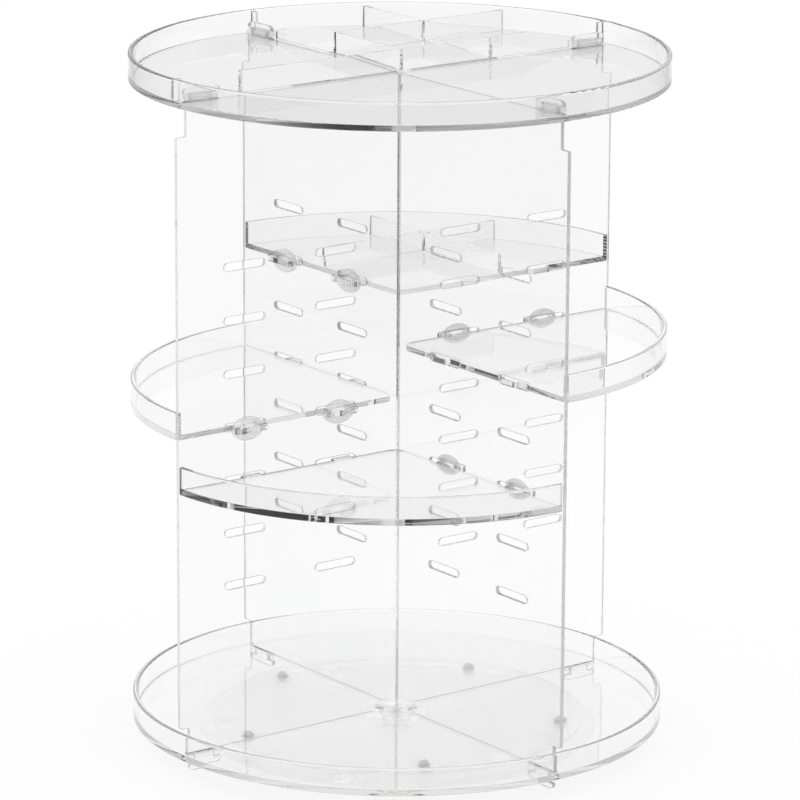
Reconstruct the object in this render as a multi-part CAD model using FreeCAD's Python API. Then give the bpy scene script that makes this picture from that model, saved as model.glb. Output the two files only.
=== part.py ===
"""Rotating makeup organizer of clear acrylic: two round trays, two crossed panels and four quarter shelves.

Millimetres, +Z up, origin on the turning axis at the surface that the rubber feet stand on.
+X and +Y run along the two panels. The four quarters are called back (+X +Y), left (-X +Y),
front (-X -Y) and right (+X -Y).
"""
import FreeCAD
import Part

import math
import os

V = FreeCAD.Vector
UP = V(0, 0, 1)

# Round trays, top and base
tray_r = 115.0
tray_h = 12.0
tray_wall = 2.2
tray_floor = 2.2
tray_inner_round = 0.4
tray_edge_round = 0.5
rim_round = 1.0

# Crossed panels
panel_t = 1.8
panel_h = 279.0
notch_low_h = 11.4
notch_high_h = 12.5
notch_round = 0.8
rim_play = 2.6
lap_play = 0.1

# Slots for the shelf tabs, in every panel half
slot_end_play = 0.5
slot_rise = 1.4
row_count = 7
row_pitch = 23.05
column_shares = (0.293, 0.704)

# Tabs with a neck that a soft ring sits on
tab_w = 16.8
neck_w = 9.4
head_l = 2.4
tab_round_share = 0.75
plain_tab_w = 9.8
plain_tab_l = 0.8
tab_root_l = 5.0
tab_slot_play = 0.3

# Soft oval rings
clip_t = 3.0
clip_band_end = 2.5
clip_band_side = 2.9
clip_hole_play = 0.6
clip_hole_slack = 2.1
clip_round_share = 0.36
clip_play = 0.2

# The quarters in turning order, and the shelves from the highest to the lowest, each in its own row
quarter_order = ("back", "left", "front", "right")
shelf_order = ("back", "right", "left", "front")
rows_above_count = 1

# Quarter shelves
shelf_h = 12.0
shelf_wall = 2.2
shelf_floor = 2.3
shelf_gap = 0.4
shelf_corner_r = 5.5
shelf_inner_round = 0.4
shelf_edge_round = 0.4
shelf_rim_round = 0.7

# Low divider walls, thinner at the top
wall_base_t = 2.0
wall_top_t = 1.4
top_wall_h = 9.2
top_wall_clip_gap = 0.3
top_wall_offset = 3.4
top_wall_cell = 47.8
top_wall_end_gap = 5.3
long_wall_left_share = 0.7
slope_start_share = 0.6
slope_low_h = 3.0
tongue_r = 54.0
tongue_web = 8.0
tongue_play = 0.2
shelf_wall_h = 8.4
shelf_wall_cell = 57.0
shelf_wall_gap = 1.3
shelf_wall_end_gap = 0.2

# Turntable under the base tray
pad_r = 5.5
pad_t = 2.0
pad_proud = 1.2
pad_count = 5
pad_inset = 10.0
foot_t = 2.6
foot_clip_gap = 7.5
foot_edge_round = 0.6
ball_d = 5.0
ball_play = 0.1
ball_count = 5
ball_first_deg = 26.4
ball_pocket_play = 0.15
cage_t = 1.6
cage_inset = 5.0
cage_boss_r = 4.0
cage_boss_share = 0.68
ball_inset = 9.0
cage_hub_gap = 4.0

# Pivot at the middle of the turntable
boss_top_r = 10.0
boss_low_r = 5.6
boss_play = 0.3
hub_r = 9.0
hub_web = 1.4
screw_head_lift = 0.6
head_pocket_r = 7.0
shoulder_r = 3.0
shoulder_play = 0.08
thread_r = 2.0
thread_play = 0.05
thread_l = 5.0
thread_end_gap = 0.4
screw_head_r = 5.5
screw_head_t = 1.6
socket_r = 1.75
socket_depth = 0.9
washer_r = 6.5
washer_t = 0.5
washer_play = 0.05

# Air left between pieces that rest on each other
seat_play = 0.05

overrun = 1.0

# Heights
foot_z = pad_proud
foot_top = foot_z + foot_t
ball_z = foot_top + ball_play + ball_d / 2
base_z = ball_z + ball_d / 2 + ball_play
panel_z = base_z + tray_floor + seat_play
top_z = panel_z + panel_h + seat_play
panel_mid = panel_z + panel_h / 2
web_z = screw_head_lift + screw_head_t + washer_t + 2 * washer_play
hub_top = web_z + hub_web
boss_low = hub_top + boss_play

# Sizes that follow from what fits together
slot_h = shelf_floor + slot_rise
slot_l = tab_w + slot_end_play + slot_h
tab_round = tab_round_share * head_l
clip_hole_l = neck_w + 2 * clip_hole_play
clip_hole_w = max(panel_t, shelf_floor) + clip_hole_slack
clip_l = clip_hole_l + 2 * clip_band_end
clip_w = clip_hole_w + 2 * clip_band_side
clip_round = clip_round_share * clip_t
cage_boss_h = cage_boss_share * ball_d

# Reaches from the axis
tray_inner_r = tray_r - tray_wall
notch_r = tray_inner_r - rim_play
end_tab_r = notch_r - tab_w / 2
foot_r = end_tab_r - clip_l / 2 - foot_clip_gap
cage_r = foot_r - cage_inset
ball_circle_r = cage_r - ball_inset
columns = [share * tray_r for share in column_shares]
shelf_side = panel_t / 2 + shelf_gap
neck_out = clip_t + clip_play
slope_end_r = end_tab_r - clip_l / 2 - top_wall_clip_gap
rib_start_r = end_tab_r + clip_l / 2 + top_wall_clip_gap


def row_z(row):
    """Middle height of a row of slots, counted from the top row."""
    return panel_mid + ((row_count - 1) / 2 - row) * row_pitch


def shelf_z(name):
    """Underside of a shelf, whose tabs rest on the lower edge of their slots."""
    return row_z(rows_above_count + shelf_order.index(name)) - slot_h / 2 + seat_play


def rounded_wire(corners):
    """Closed wire through corners, each a point with the radius that rounds it."""
    ends = []
    count = len(corners)
    for i, (point, radius) in enumerate(corners):
        before = (corners[i - 1][0] - point).normalize()
        after = (corners[(i + 1) % count][0] - point).normalize()
        if radius == 0:
            ends.append((point, None, point))
            continue
        half = before.getAngle(after) / 2
        reach = radius / math.tan(half)
        inward = (before + after).normalize()
        centre = point + inward * (radius / math.sin(half))
        ends.append((point + before * reach, centre - inward * radius, point + after * reach))
    edges = []
    for i, (start, middle, end) in enumerate(ends):
        if middle is not None:
            edges.append(Part.Arc(start, middle, end).toShape())
        following = ends[(i + 1) % count][0]
        if end.distanceToPoint(following) > 0:
            edges.append(Part.LineSegment(end, following).toShape())
    return Part.Wire(edges)


def flat_prism(wires, along):
    """Solid drawn from an outline and the outlines of its holes, pushed along a vector."""
    return Part.makeFace(wires, "Part::FaceMakerBullseye").extrude(along)


def fused(solids):
    """One solid from overlapping or touching solids, with the seams between them removed."""
    return solids[0].multiFuse(solids[1:]).removeSplitter()


def turned(shape, degrees):
    """Copy of a shape turned about the vertical axis."""
    copy = shape.copy()
    copy.rotate(V(0, 0, 0), UP, degrees)
    return copy


def swapped(shape):
    """Mirrored copy of a shape, with what lay along X along Y."""
    return shape.mirror(V(0, 0, 0), V(1, -1, 0))


def save(name, shape):
    shape.exportStep(os.path.join("parts", name + ".step"))


def rimmed_disc(r, h, wall, floor, rounds, z):
    """Round dish: a flat floor with an upright rim, as a profile turned about the axis."""
    inner = r - wall
    low_edge, rim_edge, inside = rounds
    profile = [
        (V(0, 0, z), 0),
        (V(r, 0, z), low_edge),
        (V(r, 0, z + h), rim_edge),
        (V(inner, 0, z + h), rim_edge),
        (V(inner, 0, z + floor), inside),
        (V(0, 0, z + floor), 0),
    ]
    return Part.Face(rounded_wire(profile)).revolve(V(0, 0, 0), UP, 360)


def tray(z):
    """Dish of the top or the base tray, with its underside at a height."""
    rounds = (tray_edge_round, rim_round, tray_inner_round)
    return rimmed_disc(tray_r, tray_h, tray_wall, tray_floor, rounds, z)


def tab_slots(z):
    """Cutters for the four floor slots that the heads of the panel tabs pass through."""
    long_side = tab_w + 2 * tab_slot_play
    short_side = panel_t + 2 * tab_slot_play
    corner = V(end_tab_r - long_side / 2, -short_side / 2, z - overrun)
    cutter = Part.makeBox(long_side, short_side, tray_floor + 2 * overrun, corner)
    return [turned(cutter, quarter * 90) for quarter in range(4)]


def base_tray():
    boss = Part.makeCone(boss_low_r, boss_top_r, base_z - boss_low, V(0, 0, boss_low))
    hole = Part.makeCylinder(thread_r + thread_play, thread_l + thread_end_gap, V(0, 0, boss_low))
    return fused([tray(base_z), boss]).cut(tab_slots(base_z) + [hole])


def top_tray():
    """Dish with a short rib inside its rim wherever a divider wall points at it past a ring."""
    z = top_z + tray_floor
    rib_end = tray_r - tray_wall / 2
    rib = low_wall(V(rib_start_r, top_wall_offset, 0), V(rib_end, top_wall_offset, 0), z, top_wall_h)
    ribs = [rib, swapped(rib), rib.mirror(V(0, 0, 0), V(1, 0, 0))]
    slots = tongues(tongue_play, top_z - overrun, tray_floor + 2 * overrun)
    return fused([tray(top_z)] + ribs).cut(tab_slots(top_z) + slots)


def panel_corner(notch_h):
    """Outline points of a panel's lower right corner, s across and z up: a necked tab and the rim's notch."""
    neck = neck_w / 2
    head = tab_w / 2
    neck_l = tray_floor + neck_out
    tip = neck_l + head_l
    return [
        (end_tab_r - neck, 0, 0),
        (end_tab_r - neck, -neck_l, 0),
        (end_tab_r - head, -neck_l, 0),
        (end_tab_r - head, -tip, tab_round),
        (end_tab_r + head, -tip, tab_round),
        (end_tab_r + head, -neck_l, 0),
        (end_tab_r + neck, -neck_l, 0),
        (end_tab_r + neck, 0, 0),
        (notch_r, 0, 0),
        (notch_r, notch_h, notch_round),
        (tray_r, notch_h, notch_round),
    ]


def panel_outline(lap_at_top):
    """Outline of a panel in its own plane: four tabbed and notched corners, and the half-lap cut."""
    lap = panel_t / 2 + lap_play
    high = [(s, panel_h - z, radius) for s, z, radius in reversed(panel_corner(notch_high_h))]
    right = panel_corner(notch_low_h) + high
    left = [(-s, z, radius) for s, z, radius in reversed(right)]
    lap_deep = panel_h / 2
    if lap_at_top:
        lap_floor = panel_h - lap_deep - lap_play
        cut = [(lap, panel_h, 0), (lap, lap_floor, 0), (-lap, lap_floor, 0), (-lap, panel_h, 0)]
        return right + cut + left
    lap_roof = lap_deep + lap_play
    cut = [(-lap, 0, 0), (-lap, lap_roof, 0), (lap, lap_roof, 0), (lap, 0, 0)]
    return right + left + cut


def panel(direction, lap_at_top):
    """Upright sheet along a direction, with rows and columns of round-ended slots."""
    across = V(direction.y, -direction.x, 0)
    start = V(0, 0, panel_z) - across * (panel_t / 2)

    def place(s, z):
        return start + direction * s + UP * z

    wires = [rounded_wire([(place(s, z), r) for s, z, r in panel_outline(lap_at_top)])]
    end_r = slot_h / 2
    flat = slot_l / 2 - end_r
    for row in range(row_count):
        z = row_z(row) - panel_z
        for s in columns + [-column for column in columns]:
            left, right = s - flat, s + flat
            low, high = z - end_r, z + end_r
            wires.append(Part.Wire([
                Part.LineSegment(place(left, low), place(right, low)).toShape(),
                Part.Arc(place(right, low), place(right + end_r, z), place(right, high)).toShape(),
                Part.LineSegment(place(right, high), place(left, high)).toShape(),
                Part.Arc(place(left, high), place(left - end_r, z), place(left, low)).toShape(),
            ]))
    return flat_prism(wires, across * panel_t)


def necked_tab(y):
    """Shelf tab towards -X at a place along Y: a neck through the panel and a wider head beyond the ring."""
    root = shelf_side + tab_root_l
    neck_end = -(panel_t / 2 + neck_out)
    tip = neck_end - head_l
    neck = neck_w / 2
    head = tab_w / 2
    return rounded_wire([
        (V(root, y - neck, 0), 0),
        (V(neck_end, y - neck, 0), 0),
        (V(neck_end, y - head, 0), 0),
        (V(tip, y - head, 0), tab_round),
        (V(tip, y + head, 0), tab_round),
        (V(neck_end, y + head, 0), 0),
        (V(neck_end, y + neck, 0), 0),
        (V(root, y + neck, 0), 0),
    ])


def plain_tab(x):
    """Shelf tab towards -Y: a plain tongue in the inner half of the slot at a place along X."""
    root = shelf_side + tab_root_l
    tip = -(panel_t / 2 + plain_tab_l)
    inner = x - (slot_l - slot_h) / 2
    outer = inner + plain_tab_w
    return rounded_wire([
        (V(inner, root, 0), 0),
        (V(inner, tip, 0), plain_tab_l),
        (V(outer, tip, 0), plain_tab_l),
        (V(outer, root, 0), 0),
    ])


def back_quarter_shelf():
    """Shelf of the back quarter with its underside at zero height."""
    rounds = (shelf_edge_round, shelf_rim_round, shelf_inner_round)
    dish = rimmed_disc(tray_r, shelf_h, shelf_wall, shelf_floor, rounds, 0)
    far = tray_r + overrun
    quarter = rounded_wire([
        (V(shelf_side, shelf_side, -overrun), shelf_corner_r),
        (V(far, shelf_side, -overrun), 0),
        (V(far, far, -overrun), 0),
        (V(shelf_side, far, -overrun), 0),
    ])
    floor = dish.common(flat_prism([quarter], UP * (shelf_h + 2 * overrun)))
    tongues = [necked_tab(r) for r in columns] + [plain_tab(r) for r in columns]
    return fused([floor] + [flat_prism([tongue], UP * shelf_floor) for tongue in tongues])


def clip():
    """Soft oval ring lying flat on the origin, long way along X."""
    outer = Part.Wire([Part.Ellipse(V(0, 0, 0), clip_l / 2, clip_w / 2).toShape()])
    end_r = clip_hole_w / 2
    flat = clip_hole_l / 2 - end_r
    hole = Part.Wire([
        Part.LineSegment(V(-flat, -end_r, 0), V(flat, -end_r, 0)).toShape(),
        Part.Arc(V(flat, -end_r, 0), V(flat + end_r, 0, 0), V(flat, end_r, 0)).toShape(),
        Part.LineSegment(V(flat, end_r, 0), V(-flat, end_r, 0)).toShape(),
        Part.Arc(V(-flat, end_r, 0), V(-flat - end_r, 0, 0), V(-flat, -end_r, 0)).toShape(),
    ])
    ring = flat_prism([outer, hole], UP * clip_t)
    rims = [edge for edge in ring.Edges if isinstance(edge.Curve, Part.Ellipse)]
    return ring.makeFillet(clip_round, rims)


def floor_clips(z):
    """Four rings lying round the panel tabs at a height."""
    rings = []
    for quarter in range(4):
        ring = clip()
        ring.translate(V(end_tab_r, 0, z))
        rings.append(turned(ring, quarter * 90))
    return Part.makeCompound(rings)


def clip_hang():
    """How far a ring's middle hangs below the top of the neck, which meets the hole's round ends."""
    end_r = clip_hole_w / 2
    beyond = neck_w / 2 - (clip_hole_l / 2 - end_r)
    return math.sqrt(end_r * end_r - beyond * beyond)


def back_quarter_clips():
    """Two rings hanging on the necks of the back shelf's tabs, for a shelf underside at zero height."""
    rings = []
    for y in columns:
        ring = clip()
        ring.rotate(V(0, 0, 0), UP, 90)
        ring.rotate(V(0, 0, 0), V(0, 1, 0), -90)
        ring.translate(V(-panel_t / 2 - seat_play, y, shelf_floor - clip_hang() + seat_play))
        rings.append(ring)
    return Part.makeCompound(rings)


def low_wall(start, end, z, height):
    """Straight low wall between two points of the plan, thinner at its top."""
    along = end - start
    across = V(-along.y, along.x, 0).normalize()
    base = start + UP * z
    top = base + UP * height
    section = Part.makePolygon([
        base - across * (wall_base_t / 2),
        base + across * (wall_base_t / 2),
        top + across * (wall_top_t / 2),
        top - across * (wall_top_t / 2),
        base - across * (wall_base_t / 2),
    ])
    return Part.Face(section).extrude(along)


def chord(r, offset):
    """How far a line at an offset from the axis runs before it meets a circle."""
    return math.sqrt(r * r - offset * offset)


def sloped_wall(start, z):
    """Wall along +X beside the panel, whose top slopes down towards the ring at its end."""
    top = z + top_wall_h
    wall = low_wall(V(start, top_wall_offset, 0), V(slope_end_r, top_wall_offset, 0), z, top_wall_h)
    slope = [
        V(slope_start_share * tray_r, 0, top),
        V(slope_end_r, 0, z + slope_low_h),
        V(slope_end_r + overrun, 0, z + slope_low_h),
        V(slope_end_r + overrun, 0, top + overrun),
        V(slope_start_share * tray_r, 0, top + overrun),
    ]
    cutter = Part.Face(Part.makePolygon(slope + slope[:1])).extrude(V(0, 2 * top_wall_offset, 0))
    return wall.cut(cutter)


def tongues(play, z, height):
    """Blocks under the walls beside the panels: tongues that stand in the tray's floor, or their slots."""
    width = wall_base_t + 2 * play
    side = top_wall_offset - width / 2
    left = Part.makeBox(tongue_r + 2 * play, width, height, V(-tongue_r - play, side, z))
    right = Part.makeBox(tongue_r - tongue_web + 2 * play, width, height, V(tongue_web - play, side, z))
    return [left, right, swapped(right)]


def top_divider():
    """Long wall beside the X panel, one beside the Y panel and two across the back quarter, on tongues."""
    z = top_z + tray_floor + seat_play
    near = top_wall_offset
    mid = top_wall_offset + top_wall_cell
    end = chord(tray_inner_r - top_wall_end_gap, mid)
    crossing = low_wall(V(near, mid, 0), V(end, mid, 0), z, top_wall_h)
    return fused([
        sloped_wall(-long_wall_left_share * tray_r, z),
        swapped(sloped_wall(near, z)),
        crossing,
        swapped(crossing),
    ] + tongues(0, top_z + seat_play, tray_floor))


def shelf_divider():
    """Two crossing walls on the back shelf."""
    z = shelf_z("back") + shelf_floor + seat_play
    reach = tray_r - shelf_wall - shelf_inner_round - shelf_wall_end_gap
    mid = shelf_wall_cell
    near = shelf_side + shelf_wall_gap
    far = chord(reach, mid + wall_base_t / 2)
    wall = low_wall(V(near, mid, 0), V(far, mid, 0), z, shelf_wall_h)
    return fused([wall, swapped(wall)])


def round_of(shape, count, first_deg):
    """Copies of a shape spread evenly about the axis."""
    return [turned(shape, first_deg + i * 360 / count) for i in range(count)]


def foot_disc():
    """Round plate with pockets for the rubber feet, and a hub with a pocket for the pivot screw's head."""
    e = foot_edge_round
    profile = [
        (V(0, 0, foot_z), 0),
        (V(foot_r, 0, foot_z), e),
        (V(foot_r, 0, foot_top), e),
        (V(hub_r, 0, foot_top), 0),
        (V(hub_r, 0, hub_top), 0),
        (V(0, 0, hub_top), 0),
    ]
    plate = Part.Face(rounded_wire(profile)).revolve(V(0, 0, 0), UP, 360)
    pad_pocket = Part.makeCylinder(pad_r + seat_play, pad_t + seat_play, V(foot_r - pad_inset, 0, 0))
    head_pocket = Part.makeCylinder(head_pocket_r, web_z, V(0, 0, 0))
    bore = Part.makeCylinder(shoulder_r + shoulder_play, hub_web + overrun, V(0, 0, web_z))
    return plate.cut(round_of(pad_pocket, pad_count, 0) + [head_pocket, bore])


def foot_pads():
    pad = Part.makeCylinder(pad_r, pad_t, V(foot_r - pad_inset, 0, 0))
    return Part.makeCompound(round_of(pad, pad_count, 0))


def ball_cage():
    """Thin ring round the hub with a boss and a pocket for each ball."""
    low = ball_z - cage_t / 2
    plate = Part.makeCylinder(cage_r, cage_t, V(0, 0, low))
    boss = Part.makeCylinder(cage_boss_r, cage_boss_h, V(ball_circle_r, 0, ball_z - cage_boss_h / 2))
    pocket_r = ball_d / 2 + ball_pocket_play
    pocket = Part.makeCylinder(pocket_r, cage_boss_h + 2 * overrun, V(ball_circle_r, 0, foot_top))
    middle = Part.makeCylinder(boss_top_r + cage_hub_gap, cage_t + 2 * overrun, V(0, 0, low - overrun))
    body = fused([plate] + round_of(boss, ball_count, ball_first_deg))
    return body.cut(round_of(pocket, ball_count, ball_first_deg) + [middle])


def bearing_balls():
    ball = Part.makeSphere(ball_d / 2, V(ball_circle_r, 0, ball_z))
    return Part.makeCompound(round_of(ball, ball_count, ball_first_deg))


def pivot_screw():
    """Shouldered screw: a low head under the web, a shoulder through it and a thread into the tray's boss."""
    head_top = screw_head_lift + screw_head_t
    head = Part.makeCylinder(screw_head_r, screw_head_t, V(0, 0, screw_head_lift))
    shoulder_top = boss_low - seat_play
    shoulder = Part.makeCylinder(shoulder_r, shoulder_top - head_top, V(0, 0, head_top))
    thread = Part.makeCylinder(thread_r, thread_l, V(0, 0, shoulder_top))
    turns = [math.radians(60 * i) for i in range(7)]
    key = [V(socket_r * math.cos(a), socket_r * math.sin(a), screw_head_lift) for a in turns]
    socket = Part.Face(Part.makePolygon(key)).extrude(UP * socket_depth)
    return fused([head, shoulder, thread]).cut(socket)


def pivot_washer():
    z = web_z - washer_play - washer_t
    disc = Part.makeCylinder(washer_r, washer_t, V(0, 0, z))
    hole = Part.makeCylinder(shoulder_r + shoulder_play, washer_t + 2 * overrun, V(0, 0, z - overrun))
    return disc.cut(hole)


def main():
    os.makedirs("parts", exist_ok=True)
    save("foot_disc", foot_disc())
    save("foot_pads", foot_pads())
    save("ball_cage", ball_cage())
    save("bearing_balls", bearing_balls())
    save("pivot_screw", pivot_screw())
    save("pivot_washer", pivot_washer())
    save("base_tray", base_tray())
    save("panel_along_x", panel(V(1, 0, 0), False))
    save("panel_along_y", panel(V(0, 1, 0), True))
    save("base_clips", floor_clips(base_z - seat_play - clip_t))
    save("top_tray", top_tray())
    save("top_clips", floor_clips(top_z + tray_floor + seat_play))
    save("top_divider", top_divider())
    save("shelf_divider", shelf_divider())
    shelf = back_quarter_shelf()
    rings = back_quarter_clips()
    for quarter, name in enumerate(quarter_order):
        lift = UP * shelf_z(name)
        save(name + "_shelf", turned(shelf, quarter * 90).translated(lift))
        save(name + "_shelf_clips", turned(rings, quarter * 90).translated(lift))


main()
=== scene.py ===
import math

import bpy
import numpy as np
from mathutils import Matrix

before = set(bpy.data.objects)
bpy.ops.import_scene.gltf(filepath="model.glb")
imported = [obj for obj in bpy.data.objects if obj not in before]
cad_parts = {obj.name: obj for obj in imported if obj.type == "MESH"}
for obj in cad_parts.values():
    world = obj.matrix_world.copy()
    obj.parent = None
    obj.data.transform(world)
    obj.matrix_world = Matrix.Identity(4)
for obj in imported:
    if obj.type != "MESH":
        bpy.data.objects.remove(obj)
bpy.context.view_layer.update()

# Photographic camera, in metres and radians
camera_place = (-1.2643, -1.6828, 0.6994)
camera_heading = 0.6447
camera_pitch = 0.2557
camera_roll = 0.0053
camera_lens = 227.6
camera_sensor = 36.0
camera_reach = 100.0

# Floor of the studio: the paint that throws light back, and the glow and the faint paint that are seen
floor_radius = 6.0
floor_corners = 96
floor_paint = 0.85
floor_lift = 0.86
floor_shade = 0.15

# Room that turned rays see: the light in its dark parts, and the mirror turns after which a ray sees nothing else
room_light = 0.03
full_turns = 1.75

# White part of the floor for those rays, in metres: its front, its sides, their fades, and how dim the sides get
sweep_front = -0.1
sweep_fade = 0.15
sweep_half_width = 0.5
sweep_side_fade = 0.25
sweep_side_dim = 0.5

# Where the dark front, the backdrop and the overhead light begin in a direction of length one, and the dim sides
room_front = 0.05
room_fade = 0.2
backdrop_edge = 0.85
backdrop_fade = 0.1
backdrop_side_dim = 0.35
overhead_height = 0.65

# Light of the backdrop low down and high up, and the heights between which it rises
backdrop_low = 0.6
backdrop_high = 0.95
backdrop_low_up = 0.19
backdrop_high_up = 0.25

# How often a ray may turn, and how many partly see-through faces it may cross
turn_limit = 256
see_through_limit = 64

# Index of refraction of the clear sheet, the moulded top tray, the soft pieces and the nylon
sheet_index = 1.49
top_tray_index = 1.58
soft_index = 1.41
nylon_index = 1.52
nylon_clearness = 0.9

# How strongly a metre of each clear plastic swallows light
sheet_density = 0.7
shelf_density = 1.0
top_tray_density = 1.0
base_density = 0.7
divider_density = 1.0

# Faces cut through the upright sheets: how little they face across, and their satin past the middle crossing
cut_facing = 0.5
cut_satin = 0.65
satin_roughness = 0.6
lap_reach = 0.012

# How much the cut faces, the soft rings, the hard and the soft pieces under the base tray hide what is behind them
cut_cover = 0.65
ring_cover = 0.3
hidden_cover = 0.25
soft_foot_cover = 0.1

# Noise of each finish: lumps to a metre, and levels of detail
haze_noise = (18.0, 3.0)
ring_grain_noise = (900.0, 2.0)
ring_tint_noise = (120.0, 2.0)
rubber_noise = (250.0, 2.0)
steel_noise = (400.0, 3.0)
nylon_noise = (300.0, 3.0)

# Levels of noise where haze begins and is full, and the roughness that it brings
haze_levels = (0.45, 0.75)
haze_roughness = 0.012

# Roughness of the other finishes where their noise is low and where it is high
ring_roughness = (0.3, 0.4)
rubber_roughness = (0.05, 0.15)
steel_roughness = (0.1, 0.22)
nylon_roughness = (0.1, 0.2)

# Strength of the rings' grain, and its depth in metres
grain_strength = 0.15
grain_depth = 0.0002

# Colours, as pairs between which the noise of a finish mixes
white = (1, 1, 1, 1)
black = (0, 0, 0, 1)
clear_tints = (white, (0.99, 0.992, 0.993, 1))
satin_tints = ((0.96, 0.96, 0.96, 1), (0.9, 0.9, 0.9, 1))
ring_tints = ((0.99, 0.99, 0.985, 1), (0.94, 0.94, 0.935, 1))
rubber_tints = (white, (0.97, 0.97, 0.965, 1))
steel_tints = ((0.6, 0.6, 0.61, 1), (0.52, 0.52, 0.53, 1))
nylon_tints = ((0.98, 0.98, 0.97, 1), (0.94, 0.94, 0.93, 1))
floor_tints = [(level, level, level, 1) for level in (floor_paint, floor_shade)]


class Socket:
    """An output of a node that takes part in sums and products; each operator adds a Math node."""

    def __init__(self, tree, socket):
        self.tree = tree
        self.socket = socket

    def __add__(self, other):
        return self.tree.math("ADD", self, other)

    __radd__ = __add__

    def __sub__(self, other):
        return self.tree.math("SUBTRACT", self, other)

    def __rsub__(self, other):
        return self.tree.math("SUBTRACT", other, self)

    def __mul__(self, other):
        return self.tree.math("MULTIPLY", self, other)

    __rmul__ = __mul__

    def above(self, other):
        return self.tree.math("GREATER_THAN", self, other)

    def size(self):
        return self.tree.math("ABSOLUTE", self, 0.0)

    def between(self, low, high):
        """From low to high as this goes from zero to one."""
        return self * (high - low) + low

    def ramp(self, low, high):
        """Zero below low, one above high and a smooth rise between them."""
        settings = {"interpolation_type": "SMOOTHSTEP"}
        inputs = {"Value": self, "From Min": low, "From Max": high}
        return self.tree.add("ShaderNodeMapRange", settings, inputs)


class Tree:
    """The node tree of a material or of the world, cleared of its first nodes."""

    def __init__(self, owner):
        owner.use_nodes = True
        self.nodes = owner.node_tree.nodes
        self.links = owner.node_tree.links
        self.nodes.clear()

    def add(self, kind, settings=None, inputs=None, output=0):
        """Adds a node, sets its settings, then gives its sockets values or links; returns one output."""
        node = self.nodes.new(kind)
        for name, value in (settings or {}).items():
            setattr(node, name, value)
        for key, value in (inputs or {}).items():
            if isinstance(value, Socket):
                self.links.new(value.socket, node.inputs[key])
            else:
                node.inputs[key].default_value = value
        if not node.outputs:
            return None
        return Socket(self, node.outputs[output])

    def math(self, operation, a, b):
        return self.add("ShaderNodeMath", {"operation": operation}, {0: a, 1: b})

    def noise(self, scale, detail):
        """Noise from zero to one over the piece, in lumps of about 1 / scale metres."""
        place = self.add("ShaderNodeTexCoord", output="Object")
        return self.add("ShaderNodeTexNoise", {"noise_dimensions": "3D"},
                        {"Vector": place, "Scale": scale, "Detail": detail})

    def mix(self, share, first, second):
        """Colour between two colours by a share from zero to one; the node's colour sockets go by number."""
        return self.add("ShaderNodeMix", {"data_type": "RGBA"},
                        {"Factor": share, 6: first, 7: second}, output=2)


def new_material(name):
    material = bpy.data.materials.new(name)
    return material, Tree(material)


def clear_plastic(name, density, index=sheet_index, slotted=None, cover=1.0):
    """Polished clear plastic with a faint haze on its surface, greyer the further light goes through it.

    A slotted sheet names its long axis and the axis across it: its cut faces are satin and fainter.
    """
    material, tree = new_material(name)
    haze = tree.noise(*haze_noise).ramp(*haze_levels)
    if slotted:
        cut, past_lap = cut_faces(tree, *slotted)
        cover = 1.0 - cut * (1.0 - cut_cover)
    shader = tree.add("ShaderNodeBsdfPrincipled", None, {
        "Base Color": tree.mix(haze, *clear_tints),
        "Roughness": haze * haze_roughness,
        "IOR": index,
        "Transmission Weight": 1.0,
        "Alpha": cover,
    })
    if slotted:
        satin = tree.add("ShaderNodeBsdfPrincipled", None, {
            "Base Color": tree.mix(haze, *satin_tints),
            "Roughness": satin_roughness,
            "Alpha": cover,
        })
        shader = tree.add("ShaderNodeMixShader", None, {0: cut * past_lap * cut_satin, 1: shader, 2: satin})
    body = tree.add("ShaderNodeVolumeAbsorption", None, {"Color": black, "Density": density})
    tree.add("ShaderNodeOutputMaterial", None, {"Surface": shader, "Volume": body})
    return material


def cut_faces(tree, along, across):
    """One on the faces cut through a sheet, and one past the middle where the sheets cross."""
    place = tree.add("ShaderNodeTexCoord", output="Object")
    normal = tree.add("ShaderNodeTexCoord", output="Normal")
    reach = tree.add("ShaderNodeSeparateXYZ", None, {"Vector": place}, output=along).size()
    facing = tree.add("ShaderNodeSeparateXYZ", None, {"Vector": normal}, output=across).size()
    return 1.0 - facing.above(cut_facing), reach.above(lap_reach)


def soft_ring():
    """Milky silicone with a fine grain, mostly see-through."""
    material, tree = new_material("soft_ring")
    grain = tree.noise(*ring_grain_noise)
    bump = tree.add("ShaderNodeBump", None, {"Height": grain, "Strength": grain_strength, "Distance": grain_depth})
    shader = tree.add("ShaderNodeBsdfPrincipled", None, {
        "Base Color": tree.mix(tree.noise(*ring_tint_noise), *ring_tints),
        "Roughness": grain.between(*ring_roughness),
        "IOR": soft_index,
        "Alpha": ring_cover,
        "Normal": bump,
    })
    tree.add("ShaderNodeOutputMaterial", None, {"Surface": shader})
    return material


def clear_rubber():
    """Clear soft rubber with a faint bloom."""
    material, tree = new_material("clear_rubber")
    bloom = tree.noise(*rubber_noise)
    shader = tree.add("ShaderNodeBsdfPrincipled", None, {
        "Base Color": tree.mix(bloom, *rubber_tints),
        "Roughness": bloom.between(*rubber_roughness),
        "IOR": soft_index,
        "Transmission Weight": 1.0,
        "Alpha": soft_foot_cover,
    })
    tree.add("ShaderNodeOutputMaterial", None, {"Surface": shader})
    return material


def ball_steel():
    """Polished bearing steel with a faint bloom of oil."""
    material, tree = new_material("ball_steel")
    bloom = tree.noise(*steel_noise)
    shader = tree.add("ShaderNodeBsdfPrincipled", None, {
        "Base Color": tree.mix(bloom, *steel_tints),
        "Roughness": bloom.between(*steel_roughness),
        "Metallic": 1.0,
    })
    tree.add("ShaderNodeOutputMaterial", None, {"Surface": shader})
    return material


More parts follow.
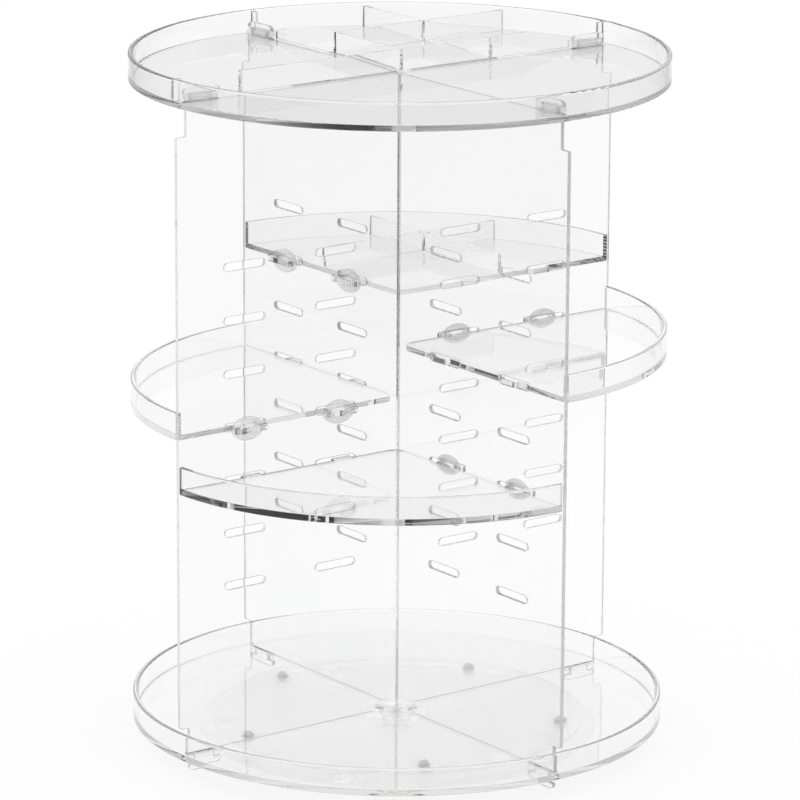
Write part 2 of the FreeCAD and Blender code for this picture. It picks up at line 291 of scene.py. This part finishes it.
def white_nylon():
    """Pale nylon that lets most light through."""
    material, tree = new_material("white_nylon")
    mottle = tree.noise(*nylon_noise)
    shader = tree.add("ShaderNodeBsdfPrincipled", None, {
        "Base Color": tree.mix(mottle, *nylon_tints),
        "Roughness": mottle.between(*nylon_roughness),
        "IOR": nylon_index,
        "Transmission Weight": nylon_clearness,
        "Alpha": hidden_cover,
    })
    tree.add("ShaderNodeOutputMaterial", None, {"Surface": shader})
    return material


def studio_floor():
    """Pale matt floor that cameras and glass see as white, and that still takes the object's shadow."""
    material, tree = new_material("studio_floor")
    ahead, aside, _ = studio_axes(tree, "Object")
    beside = aside.size().ramp(sweep_half_width - sweep_side_fade, sweep_half_width + sweep_side_fade)
    before = ahead.ramp(sweep_front - sweep_fade, sweep_front + sweep_fade)
    share = room_share(tree, before * (1.0 - beside * sweep_side_dim))
    seen = seen_background(tree)
    paint = tree.add("ShaderNodeBsdfDiffuse", None, {"Color": tree.mix(seen, *floor_tints)})
    glow = tree.add("ShaderNodeEmission", None, {"Color": white, "Strength": seen * floor_lift})
    lit = tree.add("ShaderNodeAddShader", None, {0: paint, 1: glow})
    gloom = tree.add("ShaderNodeEmission", None, {"Color": white, "Strength": room_light})
    shader = tree.add("ShaderNodeMixShader", None, {0: share, 1: gloom, 2: lit})
    tree.add("ShaderNodeOutputMaterial", None, {"Surface": shader})
    return material


def studio_axes(tree, coordinates):
    """How far along the camera's heading, how far to its right and how high a point or direction lies."""
    place = tree.add("ShaderNodeTexCoord", output=coordinates)
    east, north, up = [
        tree.add("ShaderNodeSeparateXYZ", None, {"Vector": place}, output=axis) for axis in "XYZ"
    ]
    ahead = east * math.sin(camera_heading) + north * math.cos(camera_heading)
    aside = east * math.cos(camera_heading) - north * math.sin(camera_heading)
    return ahead, aside, up


def room_share(tree, sweep):
    """One for rays that have met no mirror, and the sweep's own share for rays that surfaces have turned."""
    turned = tree.add("ShaderNodeLightPath", output="Glossy Depth").ramp(0.0, full_turns)
    return 1.0 - turned * (1.0 - sweep)


def seen_background(tree):
    """One for the rays that show a background: from the camera, from gloss and through glass."""
    seen = [tree.add("ShaderNodeLightPath", output=name)
            for name in ("Is Camera Ray", "Is Glossy Ray", "Is Transmission Ray")]
    return tree.math("MINIMUM", seen[0] + seen[1] + seen[2], 1.0)


def studio_world():
    """White backdrop behind and soft light overhead, in a room that only mirrored rays see as dark."""
    world = bpy.data.worlds.new("studio")
    bpy.context.scene.world = world
    tree = Tree(world)
    ahead, _, up = studio_axes(tree, "Generated")
    backdrop = ahead.ramp(backdrop_edge - backdrop_fade, backdrop_edge + backdrop_fade)
    behind = ahead.ramp(room_front - room_fade, room_front + room_fade)
    overhead = up.ramp(overhead_height - backdrop_fade, overhead_height + backdrop_fade)
    level = up.ramp(backdrop_low_up, backdrop_high_up).between(backdrop_low, backdrop_high)
    side = 1.0 - backdrop_side_dim
    round_about = behind * (side + backdrop * (level - side))
    share = room_share(tree, tree.math("MAXIMUM", round_about, overhead))
    strength = share.between(room_light, 1.0)
    sky = tree.add("ShaderNodeBackground", None, {"Color": white, "Strength": strength})
    tree.add("ShaderNodeOutputWorld", None, {"Surface": sky})


def make_floor():
    mesh = bpy.data.meshes.new("studio_floor")
    turn = np.linspace(0, 2 * math.pi, floor_corners, endpoint=False)
    points = np.stack([floor_radius * np.cos(turn), floor_radius * np.sin(turn), np.zeros_like(turn)], 1)
    mesh.from_pydata(points.tolist(), [], [list(range(len(points)))])
    floor = bpy.data.objects.new("studio_floor", mesh)
    bpy.context.scene.collection.objects.link(floor)
    mesh.materials.append(studio_floor())


def make_camera():
    camera = bpy.data.objects.new("camera", bpy.data.cameras.new("camera"))
    camera.data.lens = camera_lens
    camera.data.sensor_width = camera_sensor
    camera.data.clip_end = camera_reach
    camera.matrix_world = (
        Matrix.Translation(camera_place)
        @ Matrix.Rotation(-camera_heading, 4, "Z")
        @ Matrix.Rotation(math.pi / 2 - camera_pitch, 4, "X")
        @ Matrix.Rotation(camera_roll, 4, "Z")
    )
    bpy.context.scene.collection.objects.link(camera)
    bpy.context.scene.camera = camera


silicone = soft_ring()
sheet_x = clear_plastic("clear_sheet_x", sheet_density, slotted=("X", "Y"))
sheet_y = clear_plastic("clear_sheet_y", sheet_density, slotted=("Y", "X"))
shelf = clear_plastic("clear_shelf", shelf_density)
top = clear_plastic("clear_top", top_tray_density, top_tray_index)
base = clear_plastic("clear_base", base_density)
hidden = clear_plastic("clear_foot", base_density, cover=hidden_cover)
divider = clear_plastic("clear_divider", divider_density)
nylon = white_nylon()
rubber = clear_rubber()

# Finish of each piece; the pieces not named here are soft rings
finishes = {
    "foot_pads": rubber, "base_clips": rubber,
    "foot_disc": hidden, "ball_cage": hidden, "base_tray": base, "top_tray": top,
    "panel_along_x": sheet_x, "panel_along_y": sheet_y, "top_divider": divider, "shelf_divider": divider,
    "back_shelf": shelf, "left_shelf": shelf, "front_shelf": shelf, "right_shelf": shelf,
    "bearing_balls": ball_steel(), "pivot_screw": nylon, "pivot_washer": nylon,
}
for name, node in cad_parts.items():
    node.data.materials.clear()
    node.data.materials.append(finishes.get(name, silicone))

studio_world()
make_floor()
make_camera()
scene = bpy.context.scene
scene.view_settings.view_transform = "Standard"
scene.cycles.max_bounces = turn_limit
scene.cycles.transmission_bounces = turn_limit
scene.cycles.glossy_bounces = turn_limit
scene.cycles.transparent_max_bounces = see_through_limit
